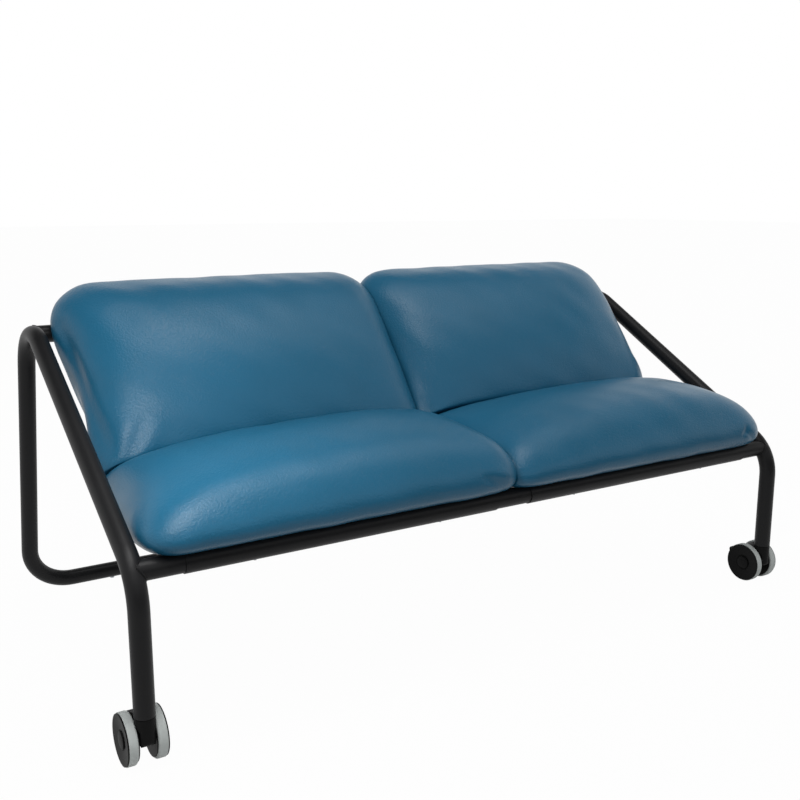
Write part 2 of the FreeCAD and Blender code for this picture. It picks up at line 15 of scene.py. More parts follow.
import bpy
import numpy as np
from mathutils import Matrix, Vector

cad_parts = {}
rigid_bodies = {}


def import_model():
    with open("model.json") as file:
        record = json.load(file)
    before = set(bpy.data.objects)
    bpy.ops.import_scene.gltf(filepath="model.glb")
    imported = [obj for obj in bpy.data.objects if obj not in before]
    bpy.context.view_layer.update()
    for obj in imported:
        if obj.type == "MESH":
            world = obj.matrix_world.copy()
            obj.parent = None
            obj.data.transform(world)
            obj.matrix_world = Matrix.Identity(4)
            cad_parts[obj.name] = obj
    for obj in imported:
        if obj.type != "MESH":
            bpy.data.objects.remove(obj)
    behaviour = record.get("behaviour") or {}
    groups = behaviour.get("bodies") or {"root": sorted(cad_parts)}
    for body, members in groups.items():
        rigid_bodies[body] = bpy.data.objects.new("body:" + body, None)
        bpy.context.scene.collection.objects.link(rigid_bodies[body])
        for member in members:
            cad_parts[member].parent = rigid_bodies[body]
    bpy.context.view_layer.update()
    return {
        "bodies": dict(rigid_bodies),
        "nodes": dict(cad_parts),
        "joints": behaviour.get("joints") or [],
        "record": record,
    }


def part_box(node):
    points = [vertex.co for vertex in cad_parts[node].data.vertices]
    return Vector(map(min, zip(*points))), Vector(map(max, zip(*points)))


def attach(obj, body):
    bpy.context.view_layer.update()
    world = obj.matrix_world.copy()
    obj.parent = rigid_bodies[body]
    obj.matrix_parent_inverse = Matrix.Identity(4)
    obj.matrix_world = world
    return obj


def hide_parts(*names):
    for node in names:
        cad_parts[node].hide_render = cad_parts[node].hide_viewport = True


log = logging.getLogger("settee")

MM = 0.001
# Edges that turn by less than this are shaded smooth
SMOOTH_ANGLE = math.radians(40)
# The corner of a seat's two slings, as Y and Z from the middle of the front rail
SLING_CORNER = (383.5 * MM, -37.4 * MM)
# Where the back cushion presses on the seat cushion, from the same place, and the slope there
CONTACT_PLACE = (309.5 * MM, 62 * MM)
CONTACT_TURN_DEG = -38.0

# Short names for Blender's types
Piece = bpy.types.Object
Material = bpy.types.Material
Node = bpy.types.Node
Tree = bpy.types.NodeTree
Socket = bpy.types.NodeSocket


class Side(Enum):
    """The two halves of the settee, as seen from in front of the seats."""

    LEFT = "left"
    RIGHT = "right"

    @property
    def sign(self) -> int:
        """The side's direction along X."""
        return -1 if self is Side.LEFT else 1


# Colours and shader nodes

def linear(code: str) -> tuple[float, float, float, float]:
    """Turns an sRGB hex colour into linear light.

    Args:
        code: A hash and six hex digits.

    Returns:
        Linear red, green and blue, and an alpha of 1.
    """
    shares = [int(code[place:place + 2], 16) / 255 for place in (1, 3, 5)]
    red, green, blue = (s / 12.92 if s <= 0.04045 else ((s + 0.055) / 1.055) ** 2.4 for s in shares)
    return red, green, blue, 1.0


def add_node(tree: Tree, kind: str, values: dict | None = None, links: dict | None = None,
             **fields: object) -> Node:
    """Adds one shader node with its settings and links.

    Args:
        tree: The node tree that gets the node.
        kind: Blender's type name of the node.
        values: Input names or numbers, and the constants to set there.
        links: Input names or numbers, and the output sockets to link there.
        fields: Other settings of the node.

    Returns:
        The new node.
    """
    node = tree.nodes.new(kind)
    for name, value in fields.items():
        setattr(node, name, value)
    for name, value in (values or {}).items():
        node.inputs[name].default_value = value
    for name, socket in (links or {}).items():
        tree.links.new(socket, node.inputs[name])
    return node


def new_material(name: str) -> tuple[Material, Tree]:
    """Starts a material without any nodes.

    Args:
        name: The material's name.

    Returns:
        The material and its node tree.
    """
    material = bpy.data.materials.new(name)
    material.use_nodes = True
    material.node_tree.nodes.clear()
    return material, material.node_tree


def end_material(tree: Tree, shader: Node) -> None:
    """Links a shader node to a new material output."""
    add_node(tree, "ShaderNodeOutputMaterial", links={"Surface": shader.outputs[0]})


@dataclass(frozen=True)
class Shading:
    """A material's nodes while a finish builds them."""

    tree: Tree
    # The coordinates that patterns follow
    place: Socket

    def noise(self, size_mm: float, detail: float = 2.0) -> Socket:
        """Adds soft noise from 0 to 1, with spots about that far apart."""
        values = {"Scale": 1 / (size_mm * MM), "Detail": detail}
        return add_node(self.tree, "ShaderNodeTexNoise", values, {"Vector": self.place}).outputs["Fac"]

    def mixed(self, share: Socket, first: str, second: str) -> Socket:
        """Mixes two sRGB hex colours, by the second one's share."""
        colours = {6: linear(first), 7: linear(second)}
        return add_node(self.tree, "ShaderNodeMix", colours, {0: share}, data_type="RGBA").outputs[2]

    def spread(self, share: Socket, low: float, high: float) -> Socket:
        """Maps 0 to 1 onto the range from low to high."""
        values = {"To Min": low, "To Max": high}
        return add_node(self.tree, "ShaderNodeMapRange", values, {"Value": share}).outputs[0]

    def bumped(self, height: Socket, strength: float, depth_mm: float, invert: bool = False) -> Socket:
        """Turns a height into a bumped normal, by the depth of a height of 1."""
        values = {"Strength": strength, "Distance": depth_mm * MM}
        return add_node(self.tree, "ShaderNodeBump", values, {"Height": height}, invert=invert).outputs[0]

    def principled(self, values: dict, links: dict) -> Node:
        """Adds the shader that the patterns end in."""
        return add_node(self.tree, "ShaderNodeBsdfPrincipled", values, links)


# Finishes

@dataclass(frozen=True)
class Finish:
    """What every finish has: a name, and a material that is built once and shared."""

    name: str

    def material(self) -> Material:
        """Gives the finish's material.

        Returns:
            The material, built where it is new.
        """
        made = bpy.data.materials.get(self.name)
        if made is None:
            made, tree = new_material(self.name)
            place = add_node(tree, "ShaderNodeTexCoord").outputs["Object"]
            end_material(tree, self.shader(Shading(tree, place)))
        return made

    def shader(self, nodes: Shading) -> Node:
        """Builds the finish's shader, which each finish has for itself.

        Args:
            nodes: The material's nodes.

        Returns:
            The shader.
        """
        raise NotImplementedError


@dataclass(frozen=True)
class Leatherette(Finish):
    """Polyurethane-coated cloth: a satin skin embossed with a fine pebble grain, slightly uneven in tone."""

    name: str = "polyurethane_leatherette"
    colour: str = "#1F5F7E"
    deep_colour: str = "#1B5773"
    roughness: float = 0.3
    gloss_level: float = 0.28
    # The real grain is near 0.9 mm, too fine for the picture, so it is drawn more coarsely
    grain_mm: float = 3.6
    pore_mm: float = 1.3
    tone_mm: float = 160.0
    grain_depth_mm: float = 0.95
    grain_strength: float = 0.8

    def shader(self, nodes: Shading) -> Node:
        """Builds the skin: a grain with pores, which also break up the gloss.

        Args:
            nodes: The material's nodes.

        Returns:
            The shader.
        """
        tone = nodes.noise(self.tone_mm, detail=3.0)
        pores = nodes.noise(self.pore_mm)
        values = {"Scale": 1 / (self.grain_mm * MM), "Randomness": 0.9}
        grain = add_node(nodes.tree, "ShaderNodeTexVoronoi", values, {"Vector": nodes.place},
                         feature="SMOOTH_F1")
        height = add_node(nodes.tree, "ShaderNodeMath", links={0: pores, 1: grain.outputs["Distance"]},
                          operation="MULTIPLY").outputs[0]
        values = {"IOR": 1.5, "Specular IOR Level": self.gloss_level}
        return nodes.principled(values, {
            "Base Color": nodes.mixed(tone, self.colour, self.deep_colour),
            "Roughness": nodes.spread(pores, self.roughness - 0.05, self.roughness + 0.07),
            "Normal": nodes.bumped(height, self.grain_strength, self.grain_depth_mm, invert=True),
        })


@dataclass(frozen=True)
class PowderCoat(Finish):
    """Baked polyester powder on steel: near black and satin, with the faint orange peel of a sprayed coat."""

    name: str = "powder_coated_steel"
    colour: str = "#171718"
    worn_colour: str = "#1C1C1D"
    roughness: float = 0.42
    gloss_level: float = 0.16
    # Orange peel is near 2 mm across on such tube
    peel_mm: float = 2.2
    tone_mm: float = 70.0
    peel_depth_mm: float = 0.05
    peel_strength: float = 0.3

    def shader(self, nodes: Shading) -> Node:
        """Builds the coat: a cloudy tone, which also varies the gloss, and the peel.

        Args:
            nodes: The material's nodes.

        Returns:
            The shader.
        """
        tone = nodes.noise(self.tone_mm, detail=4.0)
        peel = nodes.noise(self.peel_mm, detail=1.0)
        values = {"IOR": 1.5, "Specular IOR Level": self.gloss_level}
        return nodes.principled(values, {
            "Base Color": nodes.mixed(tone, self.colour, self.worn_colour),
            "Roughness": nodes.spread(tone, self.roughness - 0.06, self.roughness + 0.06),
            "Normal": nodes.bumped(peel, self.peel_strength, self.peel_depth_mm),
        })


@dataclass(frozen=True)
class MouldedNylon(Finish):
    """Glass-filled nylon from a spark-eroded mould: dull black, with a fine even grit."""

    colour: str
    roughness: float = 0.5
    gloss_level: float = 0.28
    # The mould's grit is near 0.2 mm, drawn more coarsely so that it shows
    grit_mm: float = 0.8
    grit_depth_mm: float = 0.04
    grit_strength: float = 0.4

    def shader(self, nodes: Shading) -> Node:
        """Builds the nylon: one colour, with a grit that also varies the gloss.

        Args:
            nodes: The material's nodes.

        Returns:
            The shader.
        """
        grit = nodes.noise(self.grit_mm)
        values = {"Base Color": linear(self.colour), "IOR": 1.53, "Specular IOR Level": self.gloss_level}
        return nodes.principled(values, {
            "Roughness": nodes.spread(grit, self.roughness - 0.08, self.roughness + 0.08),
            "Normal": nodes.bumped(grit, self.grit_strength, self.grit_depth_mm),
        })


@dataclass(frozen=True)
class TreadRubber(Finish):
    """Grey thermoplastic rubber: matt and slightly dusty, as soft wheels for hard floors are."""

    name: str = "grey_tread_rubber"
    colour: str = "#C6CBC8"
    dust_colour: str = "#B4B8B5"
    roughness: float = 0.62
    dust_mm: float = 9.0
    grit_mm: float = 0.9
    grit_depth_mm: float = 0.05
    grit_strength: float = 0.3

    def shader(self, nodes: Shading) -> Node:
        """Builds the rubber: patches of dust over a fine grit.

        Args:
            nodes: The material's nodes.

        Returns:
            The shader.
        """
        dust = nodes.noise(self.dust_mm, detail=5.0)
        grit = nodes.noise(self.grit_mm)
        return nodes.principled({"Roughness": self.roughness, "IOR": 1.5}, {
            "Base Color": nodes.mixed(dust, self.colour, self.dust_colour),
            "Normal": nodes.bumped(grit, self.grit_strength, self.grit_depth_mm),
        })


@dataclass(frozen=True)
class ZincSteel(Finish):
    """Zinc-plated steel: a bright grey metal with the cloudy tone of plating."""

    name: str = "zinc_plated_steel"
    colour: str = "#B4B8BC"
    cloud_colour: str = "#9A9EA3"
    roughness: float = 0.36
    cloud_mm: float = 4.0

    def shader(self, nodes: Shading) -> Node:
        """Builds the metal: clouds in its tone and its gloss.

        Args:
            nodes: The material's nodes.

        Returns:
            The shader.
        """
        cloud = nodes.noise(self.cloud_mm, detail=3.0)
        return nodes.principled({"Metallic": 1.0}, {
            "Base Color": nodes.mixed(cloud, self.colour, self.cloud_colour),
            "Roughness": nodes.spread(cloud, self.roughness - 0.08, self.roughness + 0.12),
        })


@dataclass(frozen=True)
class ElasticWebbing(Finish):
    """Woven elastic webbing: dull black yarn in lengthwise ribs, crossed by a fine weft."""

    # Turn about X that lays the weave along the strap
    turn_deg: float
    colour: str = "#19191B"
    rib_colour: str = "#2A2A2D"
    roughness: float = 0.85
    sheen: float = 0.25
    # Real ribs are near 1.5 mm apart, drawn more coarsely so that they show
    rib_mm: float = 3.6
    weft_mm: float = 2.6
    yarn_depth_mm: float = 0.3
    yarn_strength: float = 0.6

    def shader(self, nodes: Shading) -> Node:
        """Builds the weave: two crossed waves, laid along the strap.

        Args:
            nodes: The material's nodes.

        Returns:
            The shader.
        """
        values = {"Rotation": (-math.radians(self.turn_deg), 0.0, 0.0)}
        laid = add_node(nodes.tree, "ShaderNodeMapping", values, {"Vector": nodes.place}, vector_type="POINT")
        parts = add_node(nodes.tree, "ShaderNodeSeparateXYZ", links={0: laid.outputs[0]})
        waves = {}
        for number, (axis, pitch_mm) in enumerate((("Y", self.rib_mm), ("X", self.weft_mm))):
            turns = add_node(nodes.tree, "ShaderNodeMath", {1: 2 * math.pi / (pitch_mm * MM)},
                             {0: parts.outputs[axis]}, operation="MULTIPLY")
            wave = add_node(nodes.tree, "ShaderNodeMath", links={0: turns.outputs[0]}, operation="SINE")
            waves[number] = wave.outputs[0]
        weave = add_node(nodes.tree, "ShaderNodeMath", {2: 0.5}, waves, operation="MULTIPLY_ADD").outputs[0]
        values = {"Roughness": self.roughness, "Sheen Weight": self.sheen, "Sheen Roughness": 0.5}
        return nodes.principled(values, {
            "Base Color": nodes.mixed(weave, self.colour, self.rib_colour),
            "Normal": nodes.bumped(weave, self.yarn_strength, self.yarn_depth_mm),
        })


@dataclass(frozen=True)
class SewingThread(Finish):
    """Bonded polyester thread: dark and slightly shiny, with the slant of its twist."""

    name: str = "bonded_polyester_thread"
    colour: str = "#3C3C3F"
    light_colour: str = "#56565A"
    roughness: float = 0.55
    sheen: float = 0.1
    # The real twist is near 0.4 mm, drawn more coarsely so that it shows
    twist_mm: float = 1.2

    def shader(self, nodes: Shading) -> Node:
        """Builds the thread: slanted bands of two tones.

        Args:
            nodes: The material's nodes.

        Returns:
            The shader.
        """
        twist = add_node(nodes.tree, "ShaderNodeTexWave", {"Scale": math.pi / (10 * self.twist_mm * MM)},
                         {"Vector": nodes.place}, bands_direction="DIAGONAL").outputs["Fac"]
        values = {"Roughness": self.roughness, "Sheen Weight": self.sheen}
        colour = nodes.mixed(twist, self.colour, self.light_colour)
        return nodes.principled(values, {"Base Color": colour})


# Mesh helpers

def only(piece: Piece) -> None:
    """Makes a piece the only selected object, and the active one."""
    bpy.ops.object.select_all(action="DESELECT")
    piece.select_set(True)
    bpy.context.view_layer.objects.active = piece


def points_of(piece: Piece) -> np.ndarray:
    """Reads a mesh's points.

    Args:
        piece: The mesh object.

    Returns:
        One row of three coordinates for each point.
    """
    flat = np.zeros(len(piece.data.vertices) * 3, np.float32)
    piece.data.vertices.foreach_get("co", flat)
    return flat.reshape(-1, 3).astype(float)


def move_points(piece: Piece, points: np.ndarray) -> None:
    """Puts a mesh's points at new places."""
    piece.data.vertices.foreach_set("co", points.astype(np.float32).ravel())
    piece.data.update()


def normals_of(piece: Piece) -> np.ndarray:
    """Reads the normals at a mesh's points.

    Args:
        piece: The mesh object.

    Returns:
        One unit row for each point.
    """
    flat = np.zeros(len(piece.data.vertices) * 3, np.float32)
    piece.data.vertex_normals.foreach_get("vector", flat)
    return flat.reshape(-1, 3).astype(float)


def apply_modifier(piece: Piece, modifier: bpy.types.Modifier) -> None:
    """Applies one modifier of a piece."""
    only(piece)
    bpy.ops.object.modifier_apply(modifier=modifier.name)


def dress(piece: Piece, material: Material) -> None:
    """Gives a piece one material all over."""
    piece.data.materials.clear()
    piece.data.materials.append(material)


def fade(values: np.ndarray, start: float, end: float) -> np.ndarray:
    """Eases from 0 at start to 1 at end.

    Args:
        values: Where to read the ease.
        start: The value that gives 0.
        end: The value that gives 1.

    Returns:
        The eased shares.
    """
    share = np.clip((values - start) / (end - start), 0, 1)
    return share * share * (3 - 2 * share)


def round_edges(piece: Piece, radius: float, wanted: Callable[[Vector, Vector], bool],
                segments: int = 8) -> None:
    """Rounds some edges of a block.

    Args:
        piece: The block.
        radius: The rounding's radius.
        wanted: Tells from an edge's two ends whether it is rounded.
        segments: How many strips make up the rounding.
    """
    only(piece)
    bpy.ops.object.mode_set(mode="EDIT")
    bpy.ops.mesh.select_mode(type="EDGE")
    bpy.ops.mesh.select_all(action="DESELECT")
    bpy.ops.object.mode_set(mode="OBJECT")
    places = [vertex.co for vertex in piece.data.vertices]
    for edge in piece.data.edges:
        edge.select = wanted(places[edge.vertices[0]], places[edge.vertices[1]])
    bpy.ops.object.mode_set(mode="EDIT")
    bpy.ops.mesh.bevel(offset=radius, segments=segments, affect="EDGES")
    bpy.ops.object.mode_set(mode="OBJECT")


def calm(piece: Piece, values: np.ndarray, rounds: int) -> np.ndarray:
    """Evens out a value over a mesh, from neighbour to neighbour.

    Args:
        piece: The mesh object.
        values: One row for each point.
        rounds: How many times each point takes its neighbours' mean.

    Returns:
        The evened rows.
    """
    ends = np.zeros(len(piece.data.edges) * 2, np.int32)
    piece.data.edges.foreach_get("vertices", ends)
    first, second = ends.reshape(-1, 2).T
    both = np.concatenate([first, second])
    other = np.concatenate([second, first])
    count = len(values)
    links = np.maximum(np.bincount(both, minlength=count), 1)
    for _ in range(rounds):
        sums = [np.bincount(both, values[other, axis], count) for axis in range(3)]
        values = 0.5 * values + 0.5 * np.stack(sums, axis=1) / links[:, None]
    return values


def repeat(piece: Piece, count: int, step: tuple[float, float, float]) -> None:
    """Repeats a piece's mesh in a row.

    Args:
        piece: The piece.
        count: How many of it there are.
        step: From one to the next.
    """
    row = piece.modifiers.new("row", "ARRAY")
    row.use_relative_offset = False
    row.use_constant_offset = True
    row.constant_offset_displace = step
    row.count = count
    apply_modifier(piece, row)


def joined(name: str, pieces: list[Piece]) -> Piece:
    """Joins several meshes into one piece.

    Args:
        name: The new piece's name.
        pieces: The meshes.

    Returns:
        The joined piece.
    """
    only(pieces[0])
    for piece in pieces:
        piece.select_set(True)
    bpy.ops.object.join()
    pieces[0].name = name
    return pieces[0]


def fix_to_frame(piece: Piece, material: Material) -> None:
    """Finishes a small piece that stays on the frame.

    Args:
        piece: The piece.
        material: Its finish.
    """
    only(piece)
    bpy.ops.object.shade_smooth_by_angle(angle=SMOOTH_ANGLE)
    dress(piece, material)
    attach(piece, "frame")


# Sub-assemblies

@dataclass(frozen=True)
class Sling:
    """The plane that a cushion rests on, through the middle of its rail."""

    # Where the run starts, as Y and Z
    origin: tuple[float, float]
    # How far the run is turned up from +Y
    turn_deg: float

    @property
    def run(self) -> np.ndarray:
        """The direction along the sling, away from its origin."""
        return np.array([0, math.cos(math.radians(self.turn_deg)), math.sin(math.radians(self.turn_deg))])

    @property
    def out(self) -> np.ndarray:
        """The direction out of the sling, towards the sitter."""
        return np.array([0, -math.sin(math.radians(self.turn_deg)), math.cos(math.radians(self.turn_deg))])

    @property
    def axes(self) -> np.ndarray:
        """The directions across, run and out, as rows."""
        return np.array([[1.0, 0, 0], self.run, self.out])

    def place(self, local: np.ndarray) -> np.ndarray:
        """Turns rows of across, run and out into places in the room."""
        return np.array([0, *self.origin]) + local @ self.axes

    def local(self, points: np.ndarray) -> np.ndarray:
        """Turns places in the room into rows of across, run and out."""
        return self.turned(points - np.array([0, *self.origin]))

    def turned(self, ways: np.ndarray) -> np.ndarray:
        """Turns directions in the room into rows of across, run and out."""
        return ways @ self.axes.T


class FoldFace(Enum):
    """The sides of a cushion that a fold can lie on."""

    FACE = "face"
    LOW_END = "low end"
    OUTER_END = "outer end"

    @property
    def axes(self) -> list[int]:
        """The two directions that place a fold on this side, among across, run and out."""
        return {FoldFace.FACE: [0, 1], FoldFace.LOW_END: [0, 2], FoldFace.OUTER_END: [1, 2]}[self]

    def facing(self, normals: np.ndarray) -> np.ndarray:
        """Tells how squarely rows of outward across, run and out face this side's way."""
        return {FoldFace.FACE: normals[:, 2], FoldFace.LOW_END: -normals[:, 1],
                FoldFace.OUTER_END: normals[:, 0]}[self]


@dataclass(frozen=True)
class Fold:
    """A soft ridge in a cover, or a valley where its height is below zero, along a straight line."""

    face: FoldFace
    # Places on that side, with across counted outwards from the middle of the settee
    start_mm: tuple[float, float]
    end_mm: tuple[float, float]
    height_mm: float
    width_mm: float
    # How gently the fold starts and ends, as a share of its length
    end_ease: float = 0.3
    # How squarely the skin faces the fold's side where the fold starts to show, and where it is full
    facing_start: float = 0.1
    facing_full: float = 0.45

    def lift(self, local: np.ndarray, normals: np.ndarray) -> np.ndarray:
        """Finds how far the fold lifts the skin.

        Args:
            local: Rows of outward across, run and out of the skin's points.
            normals: The skin's normals in the same directions.

        Returns:
            The lift at each point, along its normal.
        """
        start = np.array(self.start_mm) * MM
        way = np.array(self.end_mm) * MM - start
        flat = local[:, self.face.axes] - start
        along = flat @ way / (way @ way)
        away = np.linalg.norm(flat - np.clip(along, 0, 1)[:, None] * way, axis=1)
        ease = self.end_ease
        ends = fade(along, -ease, ease) * fade(1 - along, -ease, ease)
        squarely = fade(self.face.facing(normals), self.facing_start, self.facing_full)
        profile = np.exp(-(away / (self.width_mm * MM)) ** 2)
        return self.height_mm * MM * profile * ends * squarely


@dataclass
class Cushion:
    """One cushion: a leatherette cover blown out by its filling, and flat where it rests or is pressed."""

    node: str
    side: Side
    sling: Sling
    # The plane where the back cushion presses on the seat cushion
    contact: Sling
    # The middle of the rail's sleeve, as run and out
    sleeve: tuple[float, float]
    fill: float
    # Ends of the cushion along the sling
    run_low: float
    run_high: float
    # Ends across it, outwards from the settee's middle. Unpressed, the inner one would reach past the middle
    outer_x: float
    inner_x: float
    # Thickness at the sling's origin, and its change along the run
    root: float
    slope: float
    # Extra thickness at the middle, where along the run it is greatest, and how far it reaches
    crown: float
    crown_mid: float
    crown_reach: float
    # Radii of the corners at the two ends of the run, and of the edges of the face and of the resting side
    corner_low_r: float
    corner_high_r: float
    face_r: float
    rest_r: float
    # 1 for the cushion on top of the contact plane, -1 for the one below
    contact_side: int
    folds: tuple[Fold, ...]
    # How much thicker the right end is than the middle
    lean: float = 3 * MM
    # How close the cushion comes to the sling's middle plane, and to the middle of the sleeve
    rest: float = 11.6 * MM
    sleeve_r: float = 18.2 * MM
    # How far the outer end draws in at the far end of the run
    rear_tuck: float = 0.0
    # How far its rear edge draws in at the near end, up to where along the run, and below which share of
    # the block's height it is full
    heel_tuck: float = 0.0
    heel_run: float = 390 * MM
    heel_share: float = 0.4
    # How close to its ends the cushion's crown falls away
    end_power: float = 3.0
    # How much higher the contact is at the middle than at the ends, and how far its outer end lies below it
    contact_rise: float = 18 * MM
    contact_tilt: float = 8 * MM
    # How gently the surface turns into the contact, and what each cushion stays away from it
    contact_ease: float = 5 * MM
    gap: float = 0.6 * MM
    # How far the filling may press the cover out
    swell: float = 5 * MM
    # The block before it is filled: its height, its mesh, and how that is smoothed
    block_height: float = 120 * MM
    voxel: float = 8 * MM
    soften_share: float = 0.5
    soften_rounds: int = 45
    # How squarely the skin faces the sling where it starts to be held, and where it is held fast
    held_start: float = 0.86
    held_full: float = 0.98
    pressure: float = 4.0
    frames: int = 20
    calm_rounds: int = 40
    # A filling is never quite even: the skin waves by this much, over about this length
    wave_height: float = 0.9 * MM
    wave_length: float = 130 * MM

    @property
    def half_width(self) -> float:
        """Half of the unpressed cushion's width."""
        return (self.outer_x - self.inner_x) / 2

    @property
    def centre_x(self) -> float:
        """The middle of the unpressed cushion."""
        return self.side.sign * (self.outer_x + self.inner_x) / 2

    def build(self) -> Piece:
        """Makes the cushion in the place of its solids.

        Returns:
            The finished cushion.
        """
        piece = self.sewn_block()
        self.blow_out(piece)
        smooth = piece.modifiers.new("skin", "SUBSURF")
        smooth.levels = 1
        smooth.render_levels = 1
        apply_modifier(piece, smooth)
        self.crease(piece)
        self.press(piece)
        only(piece)
        bpy.ops.object.shade_smooth()
        dress(piece, Leatherette().material())
        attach(piece, "frame")
        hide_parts(self.node + "_cover", self.node + "_filling")
        return piece

    def sewn_block(self) -> Piece:
        """Makes the cover before it is filled: a round-edged block, thicker at its middle.

        Returns:
            A closed, evenly meshed piece.
        """
        top = self.block_height
        size = (2 * self.half_width, self.run_high - self.run_low, top)
        middle = (0, (self.run_low + self.run_high) / 2, top / 2)
        run_end = self.run_high - MM
        bpy.ops.mesh.primitive_cube_add(size=1, location=middle, scale=size)
        bpy.ops.object.transform_apply(location=True, rotation=True, scale=True)
        piece = bpy.context.object
        piece.name = self.node + "_cushion"
        round_edges(piece, self.corner_low_r, lambda a, b: abs(a.z - b.z) > top / 2 and a.y < middle[1])
        round_edges(piece, self.corner_high_r, lambda a, b: abs(a.z - b.z) > top / 2 and a.y > run_end)
        round_edges(piece, self.face_r, lambda a, b: min(a.z, b.z) > top - MM)
        round_edges(piece, self.rest_r, lambda a, b: max(a.z, b.z) < MM)
        even = piece.modifiers.new("even", "REMESH")
        even.mode = "VOXEL"
        even.voxel_size = self.voxel
        apply_modifier(piece, even)
        soften = piece.modifiers.new("soften", "SMOOTH")
        soften.factor = self.soften_share
        soften.iterations = self.soften_rounds
        apply_modifier(piece, soften)
        start = self.swell
        local = points_of(piece)
        thick = self.thickness(local[:, 0] / self.half_width, local[:, 1]) - start - self.rest
        local[:, 2] = self.rest + local[:, 2] / top * thick
        outer = np.maximum(0, self.side.sign * local[:, 0] / self.half_width)
        heel = fade(local[:, 1], self.heel_run, 0) * fade(local[:, 2], top, self.heel_share * top)
        tuck = self.rear_tuck * fade(local[:, 1], 0, self.run_high) + self.heel_tuck * heel
        local[:, 0] -= self.side.sign * tuck * outer
        local[:, 0] += self.centre_x
        move_points(piece, self.sling.place(local))
        return piece

    def thickness(self, share: np.ndarray, run: np.ndarray) -> np.ndarray:
        """Gives the filled cushion's thickness over the sling's middle plane.

        Args:
            share: Places across the cushion, from -1 to 1.
            run: Places along the sling.

        Returns:
            The thickness at each place.
        """
        reach = np.clip(1 - ((run - self.crown_mid) / self.crown_reach) ** 2, -1, 1)
        crown = self.crown * reach * (1 - np.abs(share) ** self.end_power)
        return self.root + self.slope * run + crown + self.lean * share

    def blow_out(self, piece: Piece) -> None:
        """Lets the filling press the cover out, and takes the creases out of the swelling.

        Args:
            piece: The evenly meshed cover.
        """
        before = points_of(piece)
        normals = normals_of(piece)
        held = fade(-normals @ self.sling.out, self.held_start, self.held_full)
        group = piece.vertex_groups.new(name="held")
        for place in np.flatnonzero(held > 0):
            group.add([int(place)], float(held[place]), "REPLACE")
        cloth = piece.modifiers.new("cover", "CLOTH")
        settings = cloth.settings
        settings.quality = 5
        settings.mass = 0.3
        settings.tension_stiffness = 15
        settings.compression_stiffness = 15
        settings.shear_stiffness = 5
        settings.bending_stiffness = 0.5
        settings.use_pressure = True
        settings.uniform_pressure_force = self.pressure
        settings.vertex_group_mass = group.name
        settings.effector_weights.gravity = 0
        cloth.collision_settings.use_collision = False
        cloth.collision_settings.use_self_collision = False
        cloth.point_cache.frame_start = 1
        cloth.point_cache.frame_end = self.frames
        scene = bpy.context.scene
        for frame in range(1, self.frames + 1):
            scene.frame_set(frame)
        apply_modifier(piece, cloth)
        scene.frame_set(1)
        piece.vertex_groups.clear()
        reach = np.sum((points_of(piece) - before) * normals, axis=1)
        swelling = calm(piece, normals * np.clip(reach, 0, self.swell)[:, None], self.calm_rounds)
        log.info("%s swells by %.1f mm, at most %.1f mm", self.node, np.median(reach) / MM, reach.max() / MM)
        move_points(piece, before + swelling)

    def crease(self, piece: Piece) -> None:
        """Draws the cover's folds and the filling's slight waves into the skin.

        Args:
            piece: The filled cushion.
        """
        points = points_of(piece)
        normals = normals_of(piece)
        outwards = np.array([self.side.sign, 1, 1])
        local = self.sling.local(points) * outwards
        facing = self.sling.turned(normals) * outwards
        # Uneven factors keep the waves from lining up, and 1.6 is the most that they add up to
        x, y, z = points.T * (2 * math.pi / self.wave_length)
        waves = np.sin(x + 0.6 * np.sin(y)) * np.sin(0.8 * y + 0.5 * x) + 0.6 * np.sin(1.7 * z + x)
        lift = self.wave_height * waves / 1.6
        for fold in self.folds:
            lift += fold.lift(local, facing)
        move_points(piece, points + normals * lift[:, None])

    def press(self, piece: Piece) -> None:
        """Flattens the cushion on its neighbours, its sling and its rail.

        Args:
            piece: The filled cushion.
        """
        points = points_of(piece)
        share = np.clip((points[:, 0] - self.centre_x) / self.half_width, -1, 1)
        rise = self.contact_rise * (1 - share * share) - self.contact_tilt * self.side.sign * share
        over = self.contact.local(points)[:, 2] - rise
        depth = (self.gap - self.contact_side * over) / self.contact_ease
        push = np.logaddexp(0, depth) * self.contact_ease * self.contact_side
        points += push[:, None] * self.contact.out
        local = self.sling.local(points)
        local[:, 2] = np.maximum(local[:, 2], self.rest)
        from_sleeve = local[:, 1:] - np.array(self.sleeve)
        distance = np.linalg.norm(from_sleeve, axis=1)
        inside = distance < self.sleeve_r
        local[inside, 1:] += from_sleeve[inside] * (self.sleeve_r / distance[inside] - 1)[:, None]
        points = self.sling.place(local)
        sign = self.side.sign
        points[:, 0] = sign * np.maximum(sign * points[:, 0], self.gap)
        move_points(piece, points)


